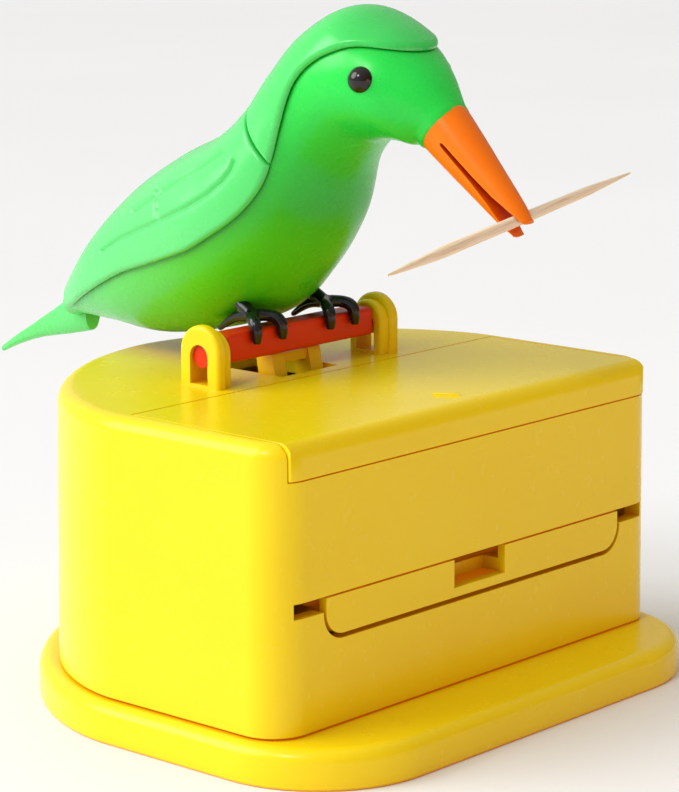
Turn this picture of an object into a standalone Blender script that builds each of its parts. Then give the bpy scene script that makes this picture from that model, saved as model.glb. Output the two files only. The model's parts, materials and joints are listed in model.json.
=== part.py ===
"""Bird toothpick dispenser: a bird on a turning perch over a toothpick box.

All sizes below are in millimetres and become metres through MM. The origin is the centre of the
base plate's underside, X runs along the toothpick slot, -Y is the front and +Z is up. In names,
left is -X and right is +X, as seen by someone who faces the box's front. Pressing the bird's head
turns it about the perch axis and pushes the tray forward.
"""
import math

import bmesh
import bpy
from mathutils import Matrix, Vector

MM = 0.001
GAP = 0.3

# Box and base plate
PLATE_HALF_WIDTH = 39.5
PLATE_FRONT = -37.2
PLATE_BACK = 37.2
PLATE_CORNER = 16.0
PLATE_THICKNESS = 5.0
BOX_HALF_WIDTH = 37.5
BOX_FRONT = -27.0
BOX_BACK = 33.6
BOX_CORNER = 5.0
BOX_TOP = 40.5
SIDE_END = 0.3
BACK_POWER = 1.75
WALL = 2.0
DRAFT = 0.55

# Slot, tray and lid
SLOT_HALF = 34.0
SLOT_LOW = 19.45
SLOT_HIGH = 21.35
PANEL_HALF = 28.6
PANEL_LOW = 16.3
PANEL_THICKNESS = 1.2
PANEL_CORNER = 3.0
NOTCH_HALF = 5.0
NOTCH_LOW = 17.5
TRAY_FLOOR_LOW = 17.5
TRAY_FLOOR_HIGH = 19.2
LID_HALF = 34.4
LID_BACK = -0.8
LID_LIP_LOW = 36.0
LID_UNDERSIDE = 38.5
LID_NOSE = 1.9

# Perch and its drive, all turning about axes along X
PERCH_Y = 4.6
PERCH_Z = 44.4
BOW_DEG = 60.0
ARM_RADIUS = 10.0
ARM_REST_DEG = -5.0
PIVOT_DISTANCE = 21.0
ROCKER_PIN_RADIUS = 1.2
DRIVE_PIN_RADIUS = 1.2
TRAY_TRAVEL = 6.0
POST_OUTER = 17.4
POST_STEP = 15.7
POST_INNER = 14.3
POST_HALF = 3.4
POST_TOP = 48.4
STEP_HALF = 2.9
STEP_TOP = 47.6
AXLE_RADIUS = 1.45
BAR_FRONT = 2.8
BAR_BACK = 6.4
BAR_LOW = 43.2
BAR_TOP = 46.9

# The rocker's pivot lies on the middle line of the arm's swing
ARM_MIDDLE = math.radians(ARM_REST_DEG + BOW_DEG / 2)
HALF_BOW = math.radians(BOW_DEG / 2)
PIVOT_Y = PERCH_Y + PIVOT_DISTANCE * math.sin(ARM_MIDDLE)
PIVOT_Z = PERCH_Z - PIVOT_DISTANCE * math.cos(ARM_MIDDLE)
PIVOT_TO_PIN = PIVOT_DISTANCE - ARM_RADIUS * math.cos(HALF_BOW)
HALF_ROCK = math.atan(ARM_RADIUS * math.sin(HALF_BOW) / PIVOT_TO_PIN)
FOOT_RADIUS = TRAY_TRAVEL / (2 * math.sin(HALF_ROCK))
ARM_REST = math.radians(ARM_REST_DEG)
DRIVE_PIN = (PERCH_Y + ARM_RADIUS * math.sin(ARM_REST), PERCH_Z - ARM_RADIUS * math.cos(ARM_REST))
FOOT_PIN = (PIVOT_Y + FOOT_RADIUS * math.sin(HALF_ROCK), PIVOT_Z - FOOT_RADIUS * math.cos(HALF_ROCK))

# Bird form: upper (y, z), lower (y, z) and half width, from tail root to the beak's root
BIRD_STATIONS = (
    (43.5, 47.0, 42.0, 43.6, 4.2),
    (36.0, 55.5, 34.0, 43.4, 8.0),
    (28.0, 62.3, 23.7, 43.1, 10.4),
    (19.5, 67.2, 8.6, 46.7, 12.2),
    (12.0, 70.6, 2.2, 51.8, 11.9),
    (6.9, 74.7, -3.2, 59.0, 10.7),
    (3.0, 79.5, -6.0, 66.7, 9.5),
    (-1.7, 84.3, -9.8, 70.8, 9.1),
    (-8.0, 87.2, -13.0, 71.6, 8.8),
    (-14.4, 85.1, -15.6, 71.6, 7.7),
    (-19.0, 81.5, -17.0, 71.3, 5.8),
    (-22.7, 76.9, -18.0, 71.5, 3.75),
)
BIRD_POWER = 2.15
SHELL_INNER = 0.3
SHELL_OUTER = 1.0
# Tail blade, in the same order
TAIL_STATIONS = (
    (41.2, 50.4, 42.2, 41.0, 1.5),
    (46.0, 45.5, 46.2, 40.1, 1.4),
    (52.0, 41.7, 52.4, 38.8, 1.2),
    (57.0, 38.8, 57.3, 37.2, 0.9),
    (60.3, 36.8, 60.3, 35.9, 0.5),
)
TAIL_POWER = 2.6
TAIL_FRONT = 42.0
# Lower edge of the cap and of the wing shell, seen from the side
CAP_EDGE = ((-26.0, 83.4), (-18.2, 83.2), (-15.4, 83.6), (-13.4, 83.8), (-11.8, 83.7), (-10.0, 83.0),
            (-7.9, 82.1), (-5.7, 80.6), (-4.3, 78.9), (-3.4, 76.7), (-2.8, 74.8), (-2.1, 72.2),
            (-1.7, 70.4), (-1.3, 68.5))
WING_EDGE = ((-1.1, 68.1), (-0.5, 66.3), (0.5, 64.7), (2.2, 62.6), (4.7, 60.5), (7.8, 58.6),
             (11.0, 56.7), (14.8, 55.4), (19.1, 54.0), (24.9, 52.3), (29.8, 50.2), (36.0, 47.3),
             (46.0, 42.6))
# Where the line between cap and wings runs out of the bird at its back, on each side of the gap
CAP_BACK = (14.0, 83.8)
WING_FRONT = (10.8, 80.0)

# Beak: a tapered round horn from BEAK_ROOT (y, z), pointing forward and down at BEAK_DIP_DEG
BEAK_ROOT = (-20.55, 74.15)
BEAK_DIP_DEG = 42.6
# Distance along the beak and radius there
BEAK_TAPER = ((-2.0, 3.6), (0.0, 3.6), (5.0, 3.1), (10.5, 2.5), (15.0, 2.0), (17.0, 1.6))
# Slit between the jaws: distance along the beak and height above its middle
BEAK_SLIT = ((3.2, 0.2), (3.6, 0.5), (14.2, 0.75), (15.0, 1.15), (20.0, 1.25), (20.0, -1.3),
             (15.0, -1.2), (14.2, -0.7), (3.6, -0.1))

# Toothpick, with its middle at PICK_CENTRE and its length along PICK_DIRECTION
PICK_CENTRE = (0.0, -32.45, 63.3)
PICK_LENGTH = 65.0
PICK_RADIUS = 0.75
PICK_TIP_RADIUS = 0.2
PICK_TAPER = 12.0
PICK_DIRECTION = (63.49, 13.3, 4.2)

EYE_X = 7.3
EYE_RADIUS = 1.7
EYE_PLACE = (-13.8, 79.6)

# Feet: distance of each from the middle, and half the spread of its two front toes
FOOT_X = 7.0
TOE_SPREAD = 2.4
TOE_RADIUS = 0.75
# Grid on which the toes of one foot merge
FOOT_VOXEL = 0.5

BOSSES = ((-32.4, -18.0), (32.4, -18.0), (-22.5, 20.5), (22.5, 20.5))

YELLOW = (0.83, 0.62, 0.01)
GREEN = (0.05, 0.60, 0.12)
PALE_GREEN = (0.20, 0.72, 0.25)
ORANGE = (0.90, 0.18, 0.01)
RED_ORANGE = (0.78, 0.06, 0.01)
BLACK = (0.01, 0.01, 0.01)
STEEL = (0.60, 0.60, 0.58)
BIRCH = (0.80, 0.62, 0.38)


def clear_scene():
    for item in list(bpy.data.objects):
        bpy.data.objects.remove(item, do_unlink=True)


def new_collection(name):
    collection = bpy.data.collections.new(name)
    bpy.context.scene.collection.children.link(collection)
    return collection


def plastic(name, colour, roughness=0.25, metallic=0.0):
    material = bpy.data.materials.new(name)
    material.use_nodes = True
    shader = material.node_tree.nodes["Principled BSDF"]
    shader.inputs["Base Color"].default_value = (*colour, 1.0)
    shader.inputs["Roughness"].default_value = roughness
    shader.inputs["Metallic"].default_value = metallic
    return material


def place(name, mesh, collection, material=None, smooth_deg=35.0):
    obj = bpy.data.objects.new(name, mesh)
    collection.objects.link(obj)
    if material is not None:
        mesh.materials.clear()
        mesh.materials.append(material)
    mesh.shade_smooth()
    mesh.set_sharp_from_angle(angle=math.radians(smooth_deg))
    return obj


def tool(name, mesh):
    """A cutter or a piece to be joined: hidden, and left out of the build."""
    obj = place(name, mesh, CUTTERS)
    obj.hide_render = True
    obj.display_type = "WIRE"
    return obj


def mesh_from(bm, name):
    bmesh.ops.recalc_face_normals(bm, faces=bm.faces)
    mesh = bpy.data.meshes.new(name)
    bm.to_mesh(mesh)
    bm.free()
    return mesh


def box(name, low, high):
    bm = bmesh.new()
    bmesh.ops.create_cube(bm, size=1.0)
    size = Vector(high) - Vector(low)
    centre = (Vector(high) + Vector(low)) / 2
    bmesh.ops.scale(bm, vec=size * MM, verts=bm.verts)
    bmesh.ops.translate(bm, vec=centre * MM, verts=bm.verts)
    return mesh_from(bm, name)


def rod(name, radius, start, end, sides=24, end_radius=None):
    bm = bmesh.new()
    line = Vector(end) - Vector(start)
    if end_radius is None:
        end_radius = radius
    bmesh.ops.create_cone(bm, cap_ends=True, segments=sides, radius1=radius * MM,
                          radius2=end_radius * MM, depth=line.length * MM)
    turn = line.to_track_quat("Z", "Y").to_matrix().to_4x4()
    shift = Matrix.Translation((Vector(start) + Vector(end)) / 2 * MM)
    bmesh.ops.transform(bm, matrix=shift @ turn, verts=bm.verts)
    return mesh_from(bm, name)


AXES = {
    "X": Matrix(((0, 0, 1, 0), (1, 0, 0, 0), (0, 1, 0, 0), (0, 0, 0, 1))),
    "Y": Matrix(((1, 0, 0, 0), (0, 0, -1, 0), (0, 1, 0, 0), (0, 0, 0, 1))),
    "Z": Matrix.Identity(4),
}


def slab(name, outline, low, high, along="Z"):
    """Extrude a flat outline from low to high along one axis."""
    curve = bpy.data.curves.new(name, "CURVE")
    curve.dimensions = "2D"
    curve.fill_mode = "BOTH"
    curve.extrude = (high - low) / 2 * MM
    spline = curve.splines.new("POLY")
    spline.points.add(len(outline) - 1)
    for point, (u, v) in zip(spline.points, outline):
        point.co = (u * MM, v * MM, 0.0, 1.0)
    spline.use_cyclic_u = True
    temporary = bpy.data.objects.new(name, curve)
    bpy.context.scene.collection.objects.link(temporary)
    graph = bpy.context.evaluated_depsgraph_get()
    mesh = bpy.data.meshes.new_from_object(temporary.evaluated_get(graph))
    bpy.data.objects.remove(temporary, do_unlink=True)
    middle = (low + high) / 2 * MM
    if along == "Y":
        middle = -middle
    bm = bmesh.new()
    bm.from_mesh(mesh)
    bmesh.ops.remove_doubles(bm, verts=bm.verts, dist=1e-6)
    bmesh.ops.translate(bm, vec=(0, 0, middle), verts=bm.verts)
    bmesh.ops.transform(bm, matrix=AXES[along], verts=bm.verts)
    return mesh_from(bm, name)


def apply_boolean(obj, other, operation):
    modifier = obj.modifiers.new(operation.lower(), "BOOLEAN")
    modifier.operation = operation
    modifier.solver = "EXACT"
    modifier.object = other


def cut(obj, *meshes):
    for mesh in meshes:
        apply_boolean(obj, tool(obj.name + "_cut", mesh), "DIFFERENCE")


def join(obj, *meshes):
    for mesh in meshes:
        apply_boolean(obj, tool(obj.name + "_join", mesh), "UNION")


def keep(obj, mesh):
    apply_boolean(obj, tool(obj.name + "_keep", mesh), "INTERSECT")


def arc(centre, radius, start_deg, end_deg, steps):
    points = []
    for i in range(steps + 1):
        angle = math.radians(start_deg + (end_deg - start_deg) * i / steps)
        points.append((centre[0] + radius * math.cos(angle), centre[1] + radius * math.sin(angle)))
    return points


def d_outline(half, front, back, corner, steps=14):
    """Straight front and sides, rounded front corners and a bowed back."""
    right = [(half - corner, front)]
    right += arc((half - corner, front + corner), corner, -90, 0, 6)[1:]
    depth = back - SIDE_END
    for i in range(steps + 1):
        angle = math.radians(90 * i / steps)
        x = half * math.cos(angle) ** (2 / BACK_POWER)
        right.append((x, SIDE_END + depth * math.sin(angle) ** (2 / BACK_POWER)))
    left = [(-x, y) for x, y in reversed(right[:-1])]
    return right + left


def rounded_box_outline(half, low, high, corner):
    """Outline in X and Z with its two lower corners rounded."""
    right = arc((half - corner, low + corner), corner, -90, 0, 4) + [(half, high)]
    left = [(-x, z) for x, z in reversed(right)]
    return right + left


def round_edges(mesh, width, segments, chosen):
    """Bevel the edges whose two ends both pass the test."""
    bm = bmesh.new()
    bm.from_mesh(mesh)
    edges = []
    for edge in bm.edges:
        sharp = len(edge.link_faces) == 2 and edge.calc_face_angle() > math.radians(50)
        if sharp and all(chosen(vert.co / MM) for vert in edge.verts):
            edges.append(edge)
    bmesh.ops.bevel(bm, geom=edges, offset=width * MM, segments=segments, profile=0.5, affect="EDGES")
    bm.to_mesh(mesh)
    bm.free()
    return mesh


def smooth_row(before, start, end, after, share):
    """One value on the smooth curve through four neighbouring station values."""
    return 0.5 * (2 * start + (end - before) * share
                  + (2 * before - 5 * start + 4 * end - after) * share ** 2
                  + (3 * start - before - 3 * end + after) * share ** 3)


def loft(name, stations, power, grow=0.0, around=28, between=3):
    """Skin superellipse sections whose top and bottom follow two side-view lines."""
    first = tuple(2 * a - b for a, b in zip(stations[0], stations[1]))
    last = tuple(2 * a - b for a, b in zip(stations[-1], stations[-2]))
    padded = (first, *stations, last)
    rows = []
    for i in range(1, len(padded) - 2):
        for step in range(between):
            rows.append([smooth_row(*four, step / between) for four in zip(*padded[i - 1:i + 3])])
    rows.append(list(stations[-1]))
    bm = bmesh.new()
    rings = []
    for upper_y, upper_z, lower_y, lower_z, half in rows:
        middle = Vector((0.0, (upper_y + lower_y) / 2, (upper_z + lower_z) / 2))
        rise = Vector((0.0, (upper_y - lower_y) / 2, (upper_z - lower_z) / 2))
        rise *= 1 + grow / rise.length
        ring = []
        for step in range(around):
            angle = 2 * math.pi * step / around
            side = math.copysign(abs(math.cos(angle)) ** (2 / power), math.cos(angle))
            lift = math.copysign(abs(math.sin(angle)) ** (2 / power), math.sin(angle))
            point = middle + Vector((side * (half + grow), 0, 0)) + rise * lift
            ring.append(bm.verts.new(point * MM))
        rings.append(ring)
    ends = []
    for ring, inner in ((rings[0], rings[1]), (rings[-1], rings[-2])):
        centre = sum((vert.co for vert in ring), Vector()) / around
        behind = sum((vert.co for vert in inner), Vector()) / around
        out = (centre - behind).normalized()
        size = max((vert.co - centre).length for vert in ring)
        ends.append((ring, centre, out, size))
    for ring, other in zip(rings[:-1], rings[1:]):
        for i in range(around):
            j = (i + 1) % around
            bm.faces.new((ring[i], ring[j], other[j], other[i]))
    for ring, centre, out, size in ends:
        last_ring = ring
        for share in (0.45, 0.8):
            dome = math.sqrt(1 - (1 - share) ** 2) * 0.42
            layer = [bm.verts.new(centre + (v.co - centre) * (1 - share ** 2) + out * size * dome)
                     for v in ring]
            for i in range(around):
                j = (i + 1) % around
                bm.faces.new((last_ring[i], last_ring[j], layer[j], layer[i]))
            last_ring = layer
        bm.faces.new(last_ring)
    return mesh_from(bm, name)


def tube(name, points, radius, sides_level=1):
    """A round bar through the given points, welded shut at both ends."""
    curve = bpy.data.curves.new(name, "CURVE")
    curve.dimensions = "3D"
    curve.bevel_depth = radius * MM
    curve.bevel_resolution = sides_level
    curve.use_fill_caps = True
    spline = curve.splines.new("POLY")
    spline.points.add(len(points) - 1)
    for point, place_mm in zip(spline.points, points):
        point.co = (*(Vector(place_mm) * MM), 1.0)
    temporary = bpy.data.objects.new(name, curve)
    bpy.context.scene.collection.objects.link(temporary)
    graph = bpy.context.evaluated_depsgraph_get()
    mesh = bpy.data.meshes.new_from_object(temporary.evaluated_get(graph))
    bpy.data.objects.remove(temporary, do_unlink=True)
    bm = bmesh.new()
    bm.from_mesh(mesh)
    bmesh.ops.remove_doubles(bm, verts=bm.verts, dist=1e-6)
    return mesh_from(bm, name)


def taper_box(mesh):
    """Draw the box's sides and back in towards the top."""
    for vert in mesh.vertices:
        share = (vert.co.z / MM - PLATE_THICKNESS) / (BOX_TOP - PLATE_THICKNESS)
        vert.co.x *= 1 - DRAFT / BOX_HALF_WIDTH * share
        if vert.co.y > 0:
            vert.co.y *= 1 - DRAFT / BOX_BACK * share


def build_base_plate():
    outline = d_outline(PLATE_HALF_WIDTH, PLATE_FRONT, PLATE_BACK, PLATE_CORNER)
    mesh = slab("base_plate", outline, 0.0, PLATE_THICKNESS)
    round_edges(mesh, 1.6, 3, lambda p: p.z > PLATE_THICKNESS - 0.1)
    plate = place("base_plate", mesh, PARTS, YELLOW_PLASTIC)
    for x, y in BOSSES:
        cut(plate, rod("counterbore", 3.0, (x, y, -1.0), (x, y, 2.8)))
        cut(plate, rod("screw_hole", 1.6, (x, y, 1.0), (x, y, PLATE_THICKNESS + 1)))


def arch_outline(half, top, foot):
    """Outline in Y and Z of an upright with a round top, centred on the perch."""
    return [(PERCH_Y + half, foot)] + arc((PERCH_Y, top - half), half, 0, 180, 10) + [(PERCH_Y - half, foot)]


def build_housing():
    low = PLATE_THICKNESS + GAP
    mesh = slab("housing", d_outline(BOX_HALF_WIDTH, BOX_FRONT, BOX_BACK, BOX_CORNER), low, BOX_TOP)
    taper_box(mesh)
    round_edges(mesh, 2.0, 3, lambda p: p.z > BOX_TOP - 0.1)
    housing = place("housing", mesh, PARTS, YELLOW_PLASTIC)
    inner_half = BOX_HALF_WIDTH - WALL - DRAFT
    inner = d_outline(inner_half, BOX_FRONT + WALL, BOX_BACK - WALL - DRAFT, BOX_CORNER - WALL)
    cut(housing, slab("cavity", inner, low - 5, BOX_TOP - 2.1))
    post = arch_outline(POST_HALF, POST_TOP, BOX_TOP - 1)
    step = arch_outline(STEP_HALF, STEP_TOP, BOX_TOP - 1)
    join(housing, slab("post", post, POST_STEP, POST_OUTER, "X"))
    join(housing, slab("post", post, -POST_OUTER, -POST_STEP, "X"))
    join(housing, slab("post_step", step, POST_INNER, POST_STEP + 0.4, "X"))
    join(housing, slab("post_step", step, -POST_STEP - 0.4, -POST_INNER, "X"))
    for x, y in BOSSES:
        join(housing, rod("boss", 3.0, (x, y, low + GAP), (x, y, 15.0)))
    recess_half = LID_HALF + GAP
    recess_low = LID_LIP_LOW - GAP
    cut(housing, box("lid_recess", (-recess_half, -40, recess_low), (recess_half, LID_BACK + GAP, 50)))
    cut(housing, box("slot", (-SLOT_HALF, -35, SLOT_LOW), (SLOT_HALF, -23, SLOT_HIGH)))
    panel = rounded_box_outline(PANEL_HALF + 0.5, PANEL_LOW - 0.6, SLOT_HIGH - 0.05, PANEL_CORNER + 0.5)
    cut(housing, slab("panel_opening", panel, -36.0, -22.0, "Y"))
    cut(housing, box("deck_slot", (-5.4, 1.4, 34), (5.4, 16.6, 45)))
    slot = arch_outline(AXLE_RADIUS + 0.1, PERCH_Z + AXLE_RADIUS + 0.1, BOX_TOP + 0.4)
    cut(housing, slab("axle_slot", slot, -30.0, 30.0, "X"))
    for x, y in BOSSES:
        cut(housing, rod("boss_hole", 1.4, (x, y, 0), (x, y, 13.8)))


def build_lid():
    """Flat lid whose rounded front edge turns down into a lip, with an arrow to slide it by."""
    low = LID_UNDERSIDE
    nose = arc((BOX_FRONT + LID_NOSE, BOX_TOP - LID_NOSE), LID_NOSE, 90, 180, 5)
    lip_back = BOX_FRONT + WALL - 0.2
    profile = [(LID_BACK, low), (LID_BACK, BOX_TOP)] + nose
    profile += [(BOX_FRONT, LID_LIP_LOW), (lip_back, LID_LIP_LOW), (lip_back, low)]
    lid = place("lid", slab("lid", profile, -LID_HALF, LID_HALF, "X"), PARTS, YELLOW_PLASTIC)
    keep(lid, slab("plan", d_outline(BOX_HALF_WIDTH, BOX_FRONT, BOX_BACK, BOX_CORNER), 30.0, 45.0))
    arrow = [(-1.8, -20.6), (0.0, -23.6), (1.8, -20.6)]
    join(lid, slab("arrow", arrow, BOX_TOP - 0.4, BOX_TOP + 0.3))


def build_magazine():
    """Sloped chute that ends in a throat one toothpick wide, with a wall at each end."""
    chute = [(-4.2, 38.2), (-4.2, 33.0), (-21.6, 22.2), (-21.6, 19.6), (-22.8, 19.6), (-22.8, 23.0),
             (-5.4, 33.8), (-5.4, 38.2)]
    end_wall = [(-23.0, 38.2), (-23.0, 21.8), (-21.8, 21.8), (-4.4, 32.8), (-4.4, 38.2)]
    mesh = slab("magazine", chute, -34.0, 34.0, "X")
    magazine = place("magazine", mesh, PARTS, YELLOW_PLASTIC)
    join(magazine, slab("end_wall", end_wall, 33.6, 34.6, "X"))
    join(magazine, slab("end_wall", end_wall, -34.6, -33.6, "X"))


def build_tray():
    panel = rounded_box_outline(PANEL_HALF, PANEL_LOW, SLOT_HIGH - 0.25, PANEL_CORNER)
    mesh = slab("dispensing_tray", panel, BOX_FRONT, BOX_FRONT + PANEL_THICKNESS, "Y")
    tray = place("dispensing_tray", mesh, PARTS, YELLOW_PLASTIC)
    back = FOOT_PIN[0] + 4.0
    right = [(27.6, BOX_FRONT + 0.6), (27.6, -20.4), (9.0, -17.6), (5.4, -14.0), (5.4, back)]
    left = [(-x, y) for x, y in reversed(right)]
    join(tray, slab("floor", right + left, TRAY_FLOOR_LOW, TRAY_FLOOR_HIGH))
    foot = FOOT_PIN[0]
    cut(tray, box("notch", (-NOTCH_HALF, -30, NOTCH_LOW), (NOTCH_HALF, -23.4, 30)))
    cut(tray, box("foot_hole", (-2.6, foot - 1.75, 10), (2.6, foot + 1.75, 30)))


def build_tray_guides():
    for name, side in (("tray_guide_left", -1), ("tray_guide_right", 1)):
        outline = [(8.2, PLATE_THICKNESS + GAP), (8.2, 20.8), (4.6, 20.8), (4.6, 19.5), (5.8, 19.5),
                   (5.8, 17.2), (3.9, 17.2), (3.9, 15.6), (6.2, 15.6), (6.2, PLATE_THICKNESS + GAP)]
        outline = [(side * x, z) for x, z in outline]
        place(name, slab(name, outline, -13.4, 7.0, "Y"), PARTS, YELLOW_PLASTIC)


def build_rocker_bracket():
    low = PLATE_THICKNESS + GAP
    mesh = box("rocker_bracket", (-13.0, PIVOT_Y - 2.6, low), (13.0, PIVOT_Y + 2.6, low + 2.0))
    bracket = place("rocker_bracket", mesh, PARTS, YELLOW_PLASTIC)
    outline = [(PIVOT_Y + 2.4, low + 1.0)] + arc((PIVOT_Y, PIVOT_Z), 2.4, 0, 180, 8)
    outline.append((PIVOT_Y - 2.4, low + 1.0))
    join(bracket, slab("cheek", outline, 6.2, 8.0, "X"))
    join(bracket, slab("cheek", outline, -8.0, -6.2, "X"))
    hole_radius = ROCKER_PIN_RADIUS + 0.08
    cut(bracket, rod("pin_hole", hole_radius, (-20, PIVOT_Y, PIVOT_Z), (20, PIVOT_Y, PIVOT_Z), 32))
    for x in (-10.5, 10.5):
        cut(bracket, rod("hole", 1.3, (x, PIVOT_Y, 0), (x, PIVOT_Y, 20)))


def build_rocker():
    """Fork that the drive pin turns, and a foot that moves the tray."""
    toward = Vector((DRIVE_PIN[0] - PIVOT_Y, DRIVE_PIN[1] - PIVOT_Z)).normalized()
    across = Vector((-toward.y, toward.x))
    centre = Vector((PIVOT_Y, PIVOT_Z))

    def at(along, aside):
        point = centre + toward * along + across * aside
        return (point.x, point.y)

    fork = [at(0, -2.6), at(8.0, -3.2), at(14.6, -3.2), at(14.6, -1.8), at(8.6, -1.8), at(8.6, 1.8),
            at(14.6, 1.8), at(14.6, 3.2), at(8.0, 3.2), at(0, 2.6)]
    rocker = place("rocker_lever", slab("rocker_lever", fork, -1.7, 1.7, "X"), PARTS, YELLOW_PLASTIC)
    join(rocker, rod("hub", 2.9, (-2.2, PIVOT_Y, PIVOT_Z), (2.2, PIVOT_Y, PIVOT_Z)))
    down = (Vector(FOOT_PIN) - centre).normalized()
    side = Vector((-down.y, down.x))
    leg = []
    for along, aside in ((1.0, -1.2), (1.0, 1.2), (FOOT_RADIUS, 0.9), (FOOT_RADIUS, -0.9)):
        point = centre + down * along + side * aside
        leg.append((point.x, point.y))
    join(rocker, slab("leg", leg, -1.6, 1.6, "X"))
    join(rocker, rod("foot", 1.35, (-1.9, *FOOT_PIN), (1.9, *FOOT_PIN)))
    hole_radius = ROCKER_PIN_RADIUS + 0.08
    cut(rocker, rod("pin_hole", hole_radius, (-9, PIVOT_Y, PIVOT_Z), (9, PIVOT_Y, PIVOT_Z), 32))


def build_rocker_pin():
    mesh = rod("rocker_pin", ROCKER_PIN_RADIUS, (-8.6, PIVOT_Y, PIVOT_Z), (8.6, PIVOT_Y, PIVOT_Z), 32)
    place("rocker_pin", mesh, PARTS, BARE_STEEL)


def build_return_spring():
    """Torsion spring wound round the rocker pin, one leg along the fork and one leg back."""
    turns = 4.6
    steps = 54
    points = [(2.9, PIVOT_Y + 1.9 - 7.0, PIVOT_Z + 5.6), (2.9, PIVOT_Y + 1.2, PIVOT_Z + 1.6)]
    for i in range(4, steps + 1):
        angle = 2 * math.pi * turns * i / steps
        x = 2.9 + 2.6 * i / steps
        points.append((x, PIVOT_Y + 1.9 * math.cos(angle), PIVOT_Z + 1.9 * math.sin(angle)))
    points.append((5.5, PIVOT_Y + 1.0, PIVOT_Z - 2.0))
    points.append((5.5, PIVOT_Y + 7.5, PIVOT_Z - 2.6))
    place("return_spring", tube("return_spring", points, 0.3, 1), PARTS, BARE_STEEL)


def build_screw(name, x, y, top, head_low, shank, head=2.5):
    """Pan-head screw, head down, as a turned profile."""
    profile = [(0, top), (shank * 0.6, top), (shank, top - 1.0), (shank, head_low + 1.5),
               (head, head_low + 1.5), (head, head_low + 0.4), (head - 0.5, head_low), (0, head_low)]
    bm = bmesh.new()
    verts = [bm.verts.new((r * MM, 0, z * MM)) for r, z in profile]
    for start, end in zip(verts[:-1], verts[1:]):
        bm.edges.new((start, end))
    mesh = bpy.data.meshes.new(name)
    bm.to_mesh(mesh)
    bm.free()
    screw = place(name, mesh, PARTS, BARE_STEEL)
    screw.location = (x * MM, y * MM, 0)
    turn = screw.modifiers.new("turn", "SCREW")
    turn.steps = 20
    turn.render_steps = 20
    turn.use_merge_vertices = True
    turn.merge_threshold = 0.00001


def build_screws():
    for number, (x, y) in enumerate(BOSSES, start=1):
        build_screw("base_screw_%d" % number, x, y, 12.5, 1.0, 1.15)
    head_low = PLATE_THICKNESS + 2 * GAP + 2.0
    for name, x in (("bracket_screw_left", -10.5), ("bracket_screw_right", 10.5)):
        head = rod(name, 2.1, (x, PIVOT_Y, head_low), (x, PIVOT_Y, head_low + 1.2))
        screw = place(name, head, PARTS, BARE_STEEL)
        join(screw, rod("shank", 1.05, (x, PIVOT_Y, PLATE_THICKNESS + GAP), (x, PIVOT_Y, head_low + 0.5)))


def build_perch_bar():
    low = (-POST_INNER + GAP, BAR_FRONT, BAR_LOW)
    high = (POST_INNER - GAP, BAR_BACK, BAR_TOP)
    mesh = round_edges(box("perch_bar", low, high), 0.6, 2, lambda p: True)
    bar = place("perch_bar", mesh, PARTS, RED_PLASTIC)
    end = POST_OUTER - 0.5
    join(bar, rod("axle", AXLE_RADIUS, (-end, PERCH_Y, PERCH_Z), (end, PERCH_Y, PERCH_Z)))


def build_perch_arm():
    """Clevis below the bar, with the drive pin across its lower end."""
    top = BAR_LOW - GAP
    outline = [(PERCH_Y + 2.2, top), (PERCH_Y - 0.6, top), (DRIVE_PIN[0] - 1.5, DRIVE_PIN[1] + 0.5)]
    outline += arc(DRIVE_PIN, 1.6, 180, 345, 6)
    mesh = slab("perch_arm", outline, 2.3, 4.6, "X")
    arm = place("perch_arm", mesh, PARTS, YELLOW_PLASTIC)
    join(arm, slab("cheek", outline, -4.6, -2.3, "X"))
    join(arm, box("bridge", (-4.4, PERCH_Y - 0.4, top - 1.4), (4.4, PERCH_Y + 2.0, top - 0.1)))
    join(arm, rod("drive_pin", DRIVE_PIN_RADIUS, (-4.2, *DRIVE_PIN), (4.2, *DRIVE_PIN)))


def bird_region(name, outline):
    return slab(name, outline, -20.0, 20.0, "X")


def tail_blade(name, grow=0.0):
    return loft(name, TAIL_STATIONS, TAIL_POWER, grow, 20, 3)


def build_bird_body():
    """Body and tail in one moulding; the tail starts square behind the rump."""
    body = place("bird_body", loft("bird_body", BIRD_STATIONS, BIRD_POWER), PARTS, PALE_GREEN_PLASTIC)
    blade = tool("tail", tail_blade("tail"))
    front = tool("tail_front", box("tail_front", (-9, 30, 30), (9, TAIL_FRONT, 44.5)))
    apply_boolean(blade, front, "DIFFERENCE")
    apply_boolean(body, blade, "UNION")


def build_shell(name, outline):
    mesh = loft(name, BIRD_STATIONS, BIRD_POWER, SHELL_OUTER)
    shell = place(name, mesh, PARTS, GREEN_PLASTIC)
    cut(shell, loft("inner", BIRD_STATIONS, BIRD_POWER, SHELL_INNER))
    keep(shell, bird_region("region", outline))
    return shell


def build_bird_shells():
    cap = list(CAP_EDGE) + [CAP_BACK, (14.0, 96.0), (-26.0, 96.0)]
    build_shell("head_cap", cap)
    wing = list(WING_EDGE) + [(50.0, 44.0), (50.0, 80.0), WING_FRONT]
    wings = build_shell("wing_shell", wing)
    cut(wings, tail_blade("tail_clear", SHELL_INNER))


def beak_point(along, above):
    """A point (y, z) in the beak's own directions."""
    dip = math.radians(BEAK_DIP_DEG)
    y = BEAK_ROOT[0] - along * math.cos(dip) - above * math.sin(dip)
    z = BEAK_ROOT[1] - along * math.sin(dip) + above * math.cos(dip)
    return (y, z)


def build_beak():
    stations = [(*beak_point(s, r), *beak_point(s, -r), r) for s, r in BEAK_TAPER]
    beak = place("beak", loft("beak", stations, 2.0, 0.0, 24, 3), PARTS, ORANGE_PLASTIC)
    cut(beak, loft("clear", BIRD_STATIONS, BIRD_POWER, GAP))
    cut(beak, slab("slit", [beak_point(s, h) for s, h in BEAK_SLIT], -10.0, 10.0, "X"))


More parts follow.
